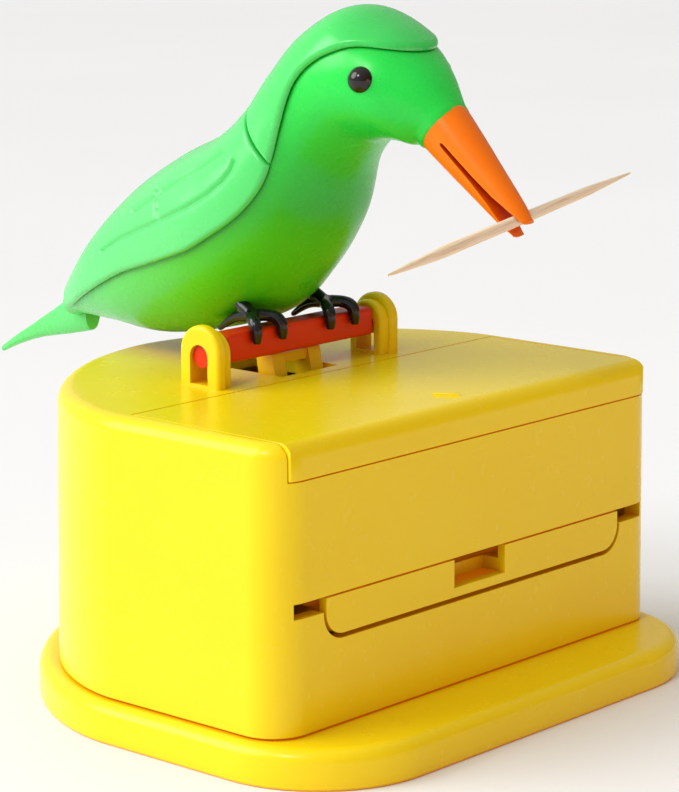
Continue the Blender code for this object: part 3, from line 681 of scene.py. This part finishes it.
def make_housing():
    low, half, front, back = BOX_LOW.z, BOX_HIGH.x, BOX_LOW.y, BOX_HIGH.y
    mesh = slab_mesh("housing_skin", d_outline(half, front, back, BOX_CORNER), low, BOX_TOP)
    taper_box(mesh)
    round_edges(mesh, BOX_TOP_ROUND, 7, lambda p: p.z > BOX_TOP - 0.1)
    housing = new_object("housing_skin", mesh)
    inner = d_outline(half - WALL - DRAFT, front + WALL, back - WALL - DRAFT, BOX_CORNER - WALL)
    cut(housing, slab_mesh("cavity", inner, low - 5, BOX_TOP - 2.1))
    post = arch_outline(POST_HALF, POST_TOP, BOX_TOP - 1)
    step = arch_outline(STEP_HALF, STEP_TOP, BOX_TOP - 1)
    for outline, low_x, high_x in ((post, POST_STEP, POST_OUTER),
                                   (step, POST_INNER, POST_STEP + 0.5)):
        for side_low, side_high in ((low_x, high_x), (-high_x, -low_x)):
            mesh = slab_mesh("post", outline, side_low, side_high, "X")
            round_edges(mesh, POST_ROUND, 4, lambda p: p.z > BOX_TOP - 2)
            join(housing, mesh)
    lid_half = LID_HIGH.x + SEAM_GAP
    cut(housing, box_mesh("recess", (-lid_half, -40, LID_LOW.z - SEAM_GAP),
                          (lid_half, LID_HIGH.y + SEAM_GAP, 50)))
    cut(housing, box_mesh("slot", (-SLOT_HALF, -35, SLOT_LOW), (SLOT_HALF, -23, SLOT_HIGH)))
    panel = rounded_box_outline(TRAY_HIGH.x + 0.5, TRAY_LOW.z - 0.6, SLOT_HIGH - 0.05,
                                PANEL_CORNER + 0.5)
    cut(housing, slab_mesh("panel", panel, -36.0, -22.0, "Y"))
    cut(housing, box_mesh("deck_slot", (-DECK_SLOT_HALF, DECK_SLOT_FRONT, 34),
                          (DECK_SLOT_HALF, DECK_SLOT_BACK, 45)))
    slot = arch_outline(AXLE_RADIUS + 0.1, PERCH_Z + AXLE_RADIUS + 0.1, BOX_TOP + 0.4)
    cut(housing, slab_mesh("axle_slot", slot, -30.0, 30.0, "X"))
    soften(housing, HOUSING_ROUND, 2)
    finish_piece(housing, YELLOW, "base", "yellow", "housing")


def make_lid():
    nose = arc((LID_LOW.y + LID_NOSE, BOX_TOP - LID_NOSE), LID_NOSE, 90, 180, 12)
    lip_back = LID_LOW.y + WALL - 0.2
    profile = [(LID_HIGH.y, LID_UNDERSIDE), (LID_HIGH.y, BOX_TOP)] + nose
    profile += [(LID_LOW.y, LID_LOW.z), (lip_back, LID_LOW.z), (lip_back, LID_UNDERSIDE)]
    lid = new_object("lid_skin", slab_mesh("lid_skin", profile, LID_LOW.x, LID_HIGH.x, "X"))
    plan = d_outline(BOX_HIGH.x, BOX_LOW.y, BOX_HIGH.y, BOX_CORNER)
    boolean(lid, slab_mesh("plan", plan, 30.0, 45.0), "INTERSECT")
    join(lid, slab_mesh("arrow", LID_ARROW, BOX_TOP - 0.4, BOX_TOP + LID_ARROW_RISE))
    soften(lid, LID_ROUND, 2, 50.0)
    finish_piece(lid, YELLOW, "base", "yellow", "lid")


def make_tray():
    panel = rounded_box_outline(TRAY_HIGH.x, TRAY_LOW.z, TRAY_HIGH.z, PANEL_CORNER)
    mesh = slab_mesh("tray_skin", panel, TRAY_LOW.y, TRAY_LOW.y + PANEL_THICKNESS, "Y")
    tray = new_object("tray_skin", mesh)
    back = TRAY_HIGH.y
    right = [(TRAY_FLOOR_SIDE, TRAY_LOW.y + 0.6), *TRAY_FLOOR_BACK, (TRAY_TONGUE_HALF, back)]
    left = [(-x, y) for x, y in reversed(right)]
    join(tray, slab_mesh("floor", right + left, FLOOR_LOW, FLOOR_HIGH))
    cut(tray, box_mesh("notch", (-NOTCH_HALF, -30, NOTCH_LOW), (NOTCH_HALF, -23.4, 30)))
    foot = back - FOOT_HOLE_SETBACK
    cut(tray, box_mesh("foot_hole", (-FOOT_HOLE_HALF_X, foot - FOOT_HOLE_HALF_Y, 10),
                       (FOOT_HOLE_HALF_X, foot + FOOT_HOLE_HALF_Y, 30)))
    soften(tray, TRAY_ROUND, 2)
    finish_piece(tray, YELLOW, "tray", "yellow", "dispensing_tray")


def make_perch_bar():
    low = (-POST_INNER + GAP, BAR_FRONT, BAR_BOTTOM)
    high = (POST_INNER - GAP, BAR_BACK, BAR_TOP)
    bar = new_object("perch_bar_skin", box_mesh("perch_bar_skin", low, high))
    soften(bar, BAR_ROUND, 5)
    axle = rod_mesh("axle", AXLE_RADIUS, (BAR_LOW.x, PERCH_Y, PERCH_Z),
                    (BAR_HIGH.x, PERCH_Y, PERCH_Z))
    join(bar, axle)
    bar.data.shade_smooth()
    bar.data.set_sharp_from_angle(angle=math.radians(40))
    finish_piece(bar, RED, "bird", "red_orange", "perch_bar")


# ---------------------------------------------------------------- bird

STATIONS = np.array(BIRD_STATIONS, float)
PADDED = np.vstack([2 * STATIONS[0] - STATIONS[1], STATIONS, 2 * STATIONS[-1] - STATIONS[-2]])


def section(t, padded=PADDED):
    """Smooth section values at station position t."""
    i = min(int(t), len(padded) - 4)
    share = t - i
    before, start, end, after = padded[i:i + 4]
    return 0.5 * (2 * start + (end - before) * share
                  + (2 * before - 5 * start + 4 * end - after) * share ** 2
                  + (3 * start - before - 3 * end + after) * share ** 3)


def form_point(t, angle, grow, power=BIRD_POWER, padded=PADDED):
    """A point on a lofted skin, grown outwards. Angle 0 is its left side and 90 degrees its top."""
    upper_y, upper_z, lower_y, lower_z, half = section(t, padded)
    middle = np.array([0.0, (upper_y + lower_y) / 2, (upper_z + lower_z) / 2])
    rise = np.array([0.0, (upper_y - lower_y) / 2, (upper_z - lower_z) / 2])
    rise *= 1 + grow / np.linalg.norm(rise)
    side = math.copysign(abs(math.cos(angle)) ** (2 / power), math.cos(angle))
    lift = math.copysign(abs(math.sin(angle)) ** (2 / power), math.sin(angle))
    return middle + np.array([-side * (half + grow), 0.0, 0.0]) + rise * lift


def loft_mesh(name, stations, power, around=96, between=12):
    """Skin superellipse sections and close both ends with a dome."""
    rows = np.array(stations, float)
    padded = np.vstack([2 * rows[0] - rows[1], rows, 2 * rows[-1] - rows[-2]])
    steps = (len(rows) - 1) * between
    bm = bmesh.new()
    rings = []
    for step in range(steps + 1):
        t = step / between
        ring = []
        for k in range(around):
            point = form_point(t, 2 * math.pi * k / around, 0.0, power, padded)
            ring.append(bm.verts.new(Vector(point) * MM))
        rings.append(ring)
    for ring, other in zip(rings[:-1], rings[1:]):
        for i in range(around):
            j = (i + 1) % around
            bm.faces.new((ring[i], ring[j], other[j], other[i]))
    for ring, inner in ((rings[0], rings[1]), (rings[-1], rings[-2])):
        centre = sum((vert.co for vert in ring), Vector()) / around
        behind = sum((vert.co for vert in inner), Vector()) / around
        out = (centre - behind).normalized()
        size = max((vert.co - centre).length for vert in ring)
        last_ring = ring
        for layer_step in range(1, 7):
            share = layer_step / 7
            dome = math.sqrt(1 - (1 - share) ** 2) * 0.42
            layer = [bm.verts.new(centre + (vert.co - centre) * (1 - share ** 2)
                                  + out * size * dome) for vert in ring]
            for i in range(around):
                j = (i + 1) % around
                bm.faces.new((last_ring[i], last_ring[j], layer[j], layer[i]))
            last_ring = layer
        bm.faces.new(last_ring)
    return mesh_from(bm, name)


def make_bird_body():
    """Body and tail in one skin; the tail starts square behind the rump."""
    body = new_object("bird_body_skin", loft_mesh("bird_body_skin", BIRD_STATIONS, BIRD_POWER), 60)
    tail = new_object("tail", loft_mesh("tail", TAIL_STATIONS, TAIL_POWER, 72, 10), 60)
    cut(tail, box_mesh("tail_front", (-9, 30, 30), (9, TAIL_FRONT, 44.5)))
    join(body, tail.data.copy())
    bpy.data.objects.remove(tail, do_unlink=True)
    body.data.shade_smooth()
    body.data.set_sharp_from_angle(angle=math.radians(50))
    finish_piece(body, BODY_GREEN, "bird", "pale_green", "bird_body")


def distance_to_line(point, line):
    """Distance in the side view from a point to a polyline, in millimetres."""
    best = 1e9
    for (ay, az), (by, bz) in zip(line[:-1], line[1:]):
        dy, dz = by - ay, bz - az
        share = ((point[0] - ay) * dy + (point[1] - az) * dz) / (dy * dy + dz * dz)
        share = min(1.0, max(0.0, share))
        best = min(best, math.hypot(point[0] - ay - share * dy, point[1] - az - share * dz))
    return best


EDGE_YS, EDGE_ZS = np.array(SHELL_EDGE, float).T


def edge_height(y):
    """Height of the shells' lower edge line at y."""
    return float(np.interp(y, EDGE_YS, EDGE_ZS))


def edge_angle(t):
    """Angle on the left side where the section at t meets the shells' lower edge."""
    low, high = math.radians(-80), math.radians(90)
    for _ in range(30):
        angle = (low + high) / 2
        _, y, z = form_point(t, angle, MID_SKIN)
        if z < edge_height(y):
            low = angle
        else:
            high = angle
    return (low + high) / 2


# The shells' lower edge as an angle at each station. It is smoothed up to the visor, and the cap
# ends just before the edges of the two sides meet on the forehead
EDGE_STEPS = np.linspace(0.0, 10.4, 420)
BLUR_STEPS = 27
VISOR_T = 9.0
EDGE_BLUR = np.hanning(BLUR_STEPS) / np.hanning(BLUR_STEPS).sum()
EDGE_ANGLES = np.array([edge_angle(t) for t in EDGE_STEPS])
EDGE_CALM = np.convolve(np.pad(EDGE_ANGLES, BLUR_STEPS // 2, "edge"), EDGE_BLUR, "valid")
EDGE_ANGLES = np.where(EDGE_STEPS < VISOR_T, EDGE_CALM, EDGE_ANGLES)
CAP_TIP_T = float(EDGE_STEPS[np.argmax(EDGE_ANGLES > math.radians(88.5))]) - 0.02


def shell_angle(t, v):
    """Angle of the shell's skin at a share v of the way over from left to right."""
    edge = float(np.interp(t, EDGE_STEPS, EDGE_ANGLES))
    return edge + (math.pi - 2 * edge) * v


def seam_station(v, offset):
    """Station where the skin at share v crosses the seam's line, moved up by offset."""
    slope = (SEAM_END[1] - SEAM_START[1]) / (SEAM_END[0] - SEAM_START[0])
    low, high = 3.0, 6.6
    for _ in range(30):
        t = (low + high) / 2
        _, y, z = form_point(t, shell_angle(t, v), MID_SKIN)
        if z - SEAM_START[1] - slope * (y - SEAM_START[0]) < offset:
            low = t
        else:
            high = t
    return (low + high) / 2


def rim(distance):
    """Share of the full shell thickness at a distance from the shell's edge."""
    if distance >= RIM_RADIUS:
        return 1.0
    share = 1 - distance / RIM_RADIUS
    return math.sqrt(max(0.0, 1 - share * share))


def relief(y, z):
    """Feather grooves cut into the wing shell, in millimetres."""
    depth = 0.0
    for line in GROOVES:
        d = distance_to_line((y, z), line)
        depth = max(depth, GROOVE_DEPTH * math.exp(-(d / GROOVE_WIDTH) ** 2))
    return -depth


def spaced(share):
    """Even spacing that tightens towards both ends."""
    return 0.6 * share + 0.4 * (0.5 - 0.5 * math.cos(math.pi * share))


def shell_mesh(name, ends, rows, columns, extra=None):
    """A thin shell over the form: outer skin, rounded rim and inner skin, welded at the rim.

    ends gives the station range for each share across."""
    cells = []
    for k in range(columns + 1):
        v = spaced(k / columns)
        start, end = ends(v)
        column = []
        for i in range(rows + 1):
            t = start + (end - start) * spaced(i / rows)
            angle = shell_angle(t, v)
            column.append((t, angle, form_point(t, angle, SHELL_INNER)))
        cells.append(column)
    base = np.array([[cell[2] for cell in column] for column in cells])
    edge = np.vstack([base[0], base[-1], base[:, 0], base[:, -1]])
    bm = bmesh.new()
    grid_out, grid_in = [], []
    for k, column in enumerate(cells):
        line_out, line_in = [], []
        for i, (t, angle, point) in enumerate(column):
            on_edge = i in (0, rows) or k in (0, columns)
            if on_edge:
                shared = bm.verts.new(Vector(point) * MM)
                line_out.append(shared)
                line_in.append(shared)
                continue
            nearest = float(np.min(np.linalg.norm(edge - point, axis=1)))
            thick = (SHELL_OUTER - SHELL_INNER) * rim(nearest)
            if extra is not None:
                thick += extra(point) * min(1.0, nearest / RIM_RADIUS)
            line_out.append(bm.verts.new(Vector(form_point(t, angle, SHELL_INNER + thick)) * MM))
            line_in.append(bm.verts.new(Vector(point) * MM))
        grid_out.append(line_out)
        grid_in.append(line_in)
    for grid in (grid_out, grid_in):
        for k in range(columns):
            for i in range(rows):
                bm.faces.new((grid[k][i], grid[k + 1][i], grid[k + 1][i + 1], grid[k][i + 1]))
    return mesh_from(bm, name)


def wing_ends(v):
    return WING_START, seam_station(v, -SEAM_HALF_GAP)


def cap_ends(v):
    return seam_station(v, SEAM_HALF_GAP), CAP_TIP_T


def make_shells():
    rows, columns = ((270, 210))
    wings = shell_mesh("wing_shell_skin", wing_ends, rows, columns,
                       lambda point: relief(point[1], point[2]))
    finish_piece(new_object("wing_shell_skin", wings, 60), GREEN, "bird", "green", "wing_shell")
    cap = shell_mesh("head_cap_skin", cap_ends, rows, columns)
    finish_piece(new_object("head_cap_skin", cap, 60), GREEN, "bird", "green", "head_cap")


def beak_point(along, above):
    """A point (y, z) in the beak's own directions."""
    dip = math.radians(BEAK_DIP_DEG)
    y = BEAK_ROOT[0] - along * math.cos(dip) - above * math.sin(dip)
    z = BEAK_ROOT[1] - along * math.sin(dip) + above * math.cos(dip)
    return (y, z)


def make_beak():
    stations = [(*beak_point(s, r), *beak_point(s, -r), r) for s, r in BEAK_TAPER]
    beak = new_object("beak_skin", loft_mesh("beak_skin", stations, 2.0, 72), 60)
    cut(beak, slab_mesh("slit", [beak_point(s, h) for s, h in BEAK_SLIT], -10.0, 10.0, "X"))
    soften(beak, BEAK_ROUND, 3, 50.0)
    finish_piece(beak, ORANGE, "bird", "orange", "beak")


def make_eyes():
    for name, side in (("eye_left", -1), ("eye_right", 1)):
        bm = bmesh.new()
        bmesh.ops.create_uvsphere(bm, u_segments=48, v_segments=24, radius=EYE_RADIUS * MM)
        bmesh.ops.translate(bm, vec=Vector((side * EYE_X, *EYE_PLACE)) * MM, verts=bm.verts)
        eye = new_object(name + "_gloss", mesh_from(bm, name), 60)
        finish_piece(eye, EYE_BLACK, "bird", "black", name)


def tube_mesh(name, points, radii):
    """A round bar along a smooth curve, its radius changing from point to point."""
    curve = bpy.data.curves.new(name, "CURVE")
    curve.dimensions = "3D"
    curve.bevel_depth = MM
    curve.bevel_resolution = 5
    curve.resolution_u = 10
    curve.use_fill_caps = True
    spline = curve.splines.new("NURBS")
    spline.points.add(len(points) - 1)
    for point, place, radius in zip(spline.points, points, radii):
        point.co = (*(Vector(place) * MM), 1.0)
        point.radius = radius
    spline.use_endpoint_u = True
    spline.order_u = 3
    obj = bpy.data.objects.new(name, curve)
    bpy.context.scene.collection.objects.link(obj)
    mesh = evaluated_mesh(obj)
    bpy.data.objects.remove(obj, do_unlink=True)
    return mesh


def make_feet():
    """A short leg, two toes over the front of the bar and one behind, for each foot."""
    front = BAR_FRONT - TOE_RADIUS
    top = BAR_TOP + TOE_RADIUS
    for name, side in (("foot_left", -1), ("foot_right", 1)):
        x = side * FOOT_X
        ankle = (x, PERCH_Y + 0.4, top + 0.6)
        leg = [(x, PERCH_Y - 0.4, top + 0.3), ankle, (x * 0.96, BAR_BACK + 1.0, 49.6),
               (x * 0.88, BAR_BACK + 4.6, 51.5)]
        rear_toe = [ankle, (x, BAR_BACK + 0.6, top + 0.5), (x, BAR_BACK + 2.8, top - 0.4),
                    (x, BAR_BACK + 4.6, top - 1.8)]
        tubes = [(leg, (0.7, 0.85, 0.95, 0.95)), (rear_toe, (0.9, 0.75, 0.6, 0.35))]
        for spread in (-TOE_SPREAD, TOE_SPREAD):
            toe = [ankle, (x + spread * 0.5, front + 2.2, top + 0.75),
                   (x + spread * 0.95, front + 0.5, top + 0.35),
                   (x + spread, front - 0.05, top - 1.0), (x + spread, front, top - 2.4)]
            tubes.append((toe, (0.9, 0.78, 0.85, 0.8, 0.5)))
        bm = bmesh.new()
        for points, radii in tubes:
            bm.from_mesh(tube_mesh("toe", points, radii))
        foot = new_object(name + "_skin", mesh_from(bm, name + "_skin"), 60)
        skin = foot.modifiers.new("one_skin", "REMESH")
        skin.mode = "VOXEL"
        skin.voxel_size = FOOT_VOXEL * MM
        calm = foot.modifiers.new("calm", "SMOOTH")
        calm.iterations = 4
        foot.data = evaluated_mesh(foot)
        foot.modifiers.clear()
        foot.data.shade_smooth()
        finish_piece(foot, BLACK, "bird", "black", name)


def make_toothpick():
    """A round stick with two tapered ends, turned from X into the held direction."""
    half = PICK_LENGTH / 2
    rings, around = 90, 32
    bm = bmesh.new()
    rows = []
    for i in range(rings + 1):
        s = -half + PICK_LENGTH * i / rings
        to_tip = half - abs(s)
        thick = PICK_RADIUS - PICK_THINNING * max(0.0, s) / half
        radius = thick
        if to_tip < PICK_TAPER:
            radius = PICK_TIP_RADIUS + (thick - PICK_TIP_RADIUS) * (to_tip / PICK_TAPER) ** 0.8
        rows.append([bm.verts.new((s * MM, radius * math.cos(a) * MM, radius * math.sin(a) * MM))
                     for a in (2 * math.pi * k / around for k in range(around))])
    for row, other in zip(rows[:-1], rows[1:]):
        for k in range(around):
            j = (k + 1) % around
            bm.faces.new((row[k], row[j], other[j], other[k]))
    bm.faces.new(rows[0])
    bm.faces.new(rows[-1])
    turn = Vector(PICK_DIRECTION).to_track_quat("X", "Z").to_matrix().to_4x4()
    place = Matrix.Translation(Vector(PICK_CENTRE) * MM)
    bmesh.ops.transform(bm, matrix=place @ turn, verts=bm.verts)
    pick = new_object("toothpick_wood", mesh_from(bm, "toothpick_wood"), 60)
    finish_piece(pick, BIRCH, "held_toothpick", "birch", "toothpick")


# ---------------------------------------------------------------- stage

def make_stage():
    bpy.ops.mesh.primitive_plane_add(size=6.0, location=(0, 0, 0))
    floor = bpy.context.object
    floor.name = "floor"
    nodes = Nodes("pale_floor")
    nodes.link(nodes.ramp(nodes.noise(6.0), (0.3, (0.90, 0.90, 0.90)), (0.7, (0.92, 0.92, 0.92))),
               nodes.shader.inputs["Base Color"])
    nodes.set(Roughness=0.7)
    floor.data.materials.append(nodes.material)


def area_light(name, place, target, size, power, colour=(1, 1, 1)):
    light = bpy.data.lights.new(name, "AREA")
    light.shape = "RECTANGLE"
    light.size, light.size_y = size
    light.energy = power
    light.color = colour
    obj = bpy.data.objects.new(name, light)
    bpy.context.scene.collection.objects.link(obj)
    obj.location = place
    obj.rotation_euler = (Vector(target) - Vector(place)).to_track_quat("-Z", "Y").to_euler()


def make_lights():
    """A soft dome, brighter on the left, behind and above, and a low warm card in front."""
    world = bpy.data.worlds.new("studio")
    bpy.context.scene.world = world
    world.use_nodes = True
    tree = world.node_tree
    background = tree.nodes["Background"]
    coordinates = tree.nodes.new("ShaderNodeTexCoord")
    towards = tree.nodes.new("ShaderNodeVectorMath")
    towards.operation = "DOT_PRODUCT"
    towards.inputs[1].default_value = Vector(DOME_BRIGHT_SIDE).normalized()
    tree.links.new(coordinates.outputs["Generated"], towards.inputs[0])
    strength = tree.nodes.new("ShaderNodeMapRange")
    strength.inputs["From Min"].default_value = -0.8
    strength.inputs["From Max"].default_value = 1.0
    strength.inputs["To Min"].default_value = DOME_DIM
    strength.inputs["To Max"].default_value = DOME_BRIGHT
    tree.links.new(towards.outputs["Value"], strength.inputs["Value"])
    tree.links.new(strength.outputs["Result"], background.inputs["Strength"])
    warmth = tree.nodes.new("ShaderNodeValToRGB")
    dim, bright = warmth.color_ramp.elements
    dim.position, dim.color = 0.1, (*DOME_WARM, 1.0)
    bright.position, bright.color = 0.55, (1.0, 1.0, 1.0, 1.0)
    tree.links.new(strength.outputs["Result"], warmth.inputs["Fac"])
    tree.links.new(warmth.outputs["Color"], background.inputs["Color"])
    sun = bpy.data.lights.new("soft_window", "SUN")
    sun.energy = SUN_POWER
    sun.angle = math.radians(SUN_SPREAD_DEG)
    window = bpy.data.objects.new("soft_window", sun)
    bpy.context.scene.collection.objects.link(window)
    window.rotation_euler = Vector(SUN_TRAVEL).to_track_quat("-Z", "Y").to_euler()
    area_light("window_pane", (-0.80, -0.12, 0.78), (0.0, 0.0, 0.06), (0.22, 0.28), 2.6)
    area_light("warm_card", (0.06, -0.62, 0.10), (0.0, 0.0, 0.04), (0.3, 0.2), 0.4,
               (1.0, 0.28, 0.02))


def make_camera():
    azimuth = math.radians(CAMERA_AZIMUTH)
    elevation = math.radians(CAMERA_ELEVATION)
    roll = math.radians(CAMERA_ROLL)
    forward = Vector((-math.sin(azimuth) * math.cos(elevation),
                      math.cos(azimuth) * math.cos(elevation), -math.sin(elevation)))
    right = Vector((math.cos(azimuth), math.sin(azimuth), 0.0))
    up = right.cross(forward)
    turned_right = right * math.cos(roll) + up * math.sin(roll)
    turned_up = up * math.cos(roll) - right * math.sin(roll)
    data = bpy.data.cameras.new("camera")
    data.lens = CAMERA_LENS
    data.sensor_width = 36.0
    data.clip_start = 0.01
    camera = bpy.data.objects.new("camera", data)
    bpy.context.scene.collection.objects.link(camera)
    turn = Matrix((turned_right, turned_up, -forward)).transposed().to_4x4()
    camera.matrix_world = Matrix.Translation(Vector(CAMERA_PLACE) * MM) @ turn
    bpy.context.scene.camera = camera


make_camera()
make_lights()
make_stage()
make_base_plate()
make_housing()
make_lid()
make_tray()
make_perch_bar()
make_bird_body()
make_shells()
make_beak()
make_eyes()
make_feet()
make_toothpick()

NODE_SLOTS = {entry["node"]: entry["material_slot"] for entry in frame["record"]["subparts"]}
for node_name, node in frame["nodes"].items():
    node.data.materials.clear()
    node.data.materials.append(SLOT_MATERIALS[NODE_SLOTS[node_name]])

bpy.context.scene.view_settings.view_transform = "Standard"
